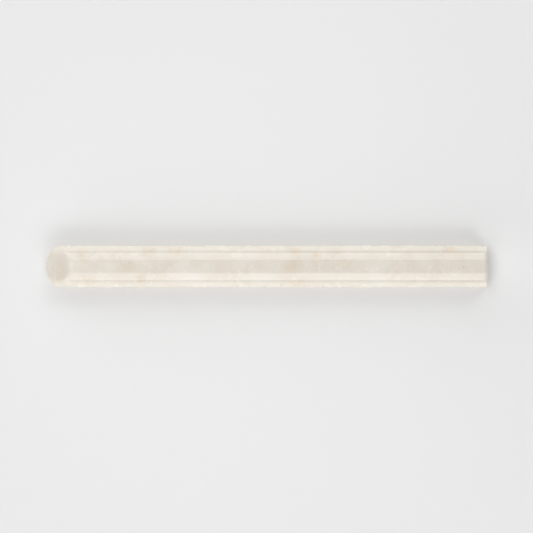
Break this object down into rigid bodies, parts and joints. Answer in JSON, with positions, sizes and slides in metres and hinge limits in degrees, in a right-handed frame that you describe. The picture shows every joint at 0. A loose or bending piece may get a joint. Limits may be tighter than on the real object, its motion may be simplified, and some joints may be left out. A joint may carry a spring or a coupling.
{
  "type": "pencil liner tile",
  "caption": "Narrow straight trim tile of polished cream stone: flat top, sloped shoulders, rounded outer bands, one rounded sloping end, one square cut end, flat back.",
  "frame": {"origin": "middle of the flat back, where the tile rests", "axes": "X along the bar with the rounded end at -X and the square cut at +X, Y across the bar, +Z out of the back towards the flat top"},
  "size_m": [0.305, 0.0286, 0.016],
  "materials": {
    "marble": "polished cream marble with soft tan clouds"
  },
  "bodies": {
    "root": {"liner": "marble"}
  },
  "joints": []
}
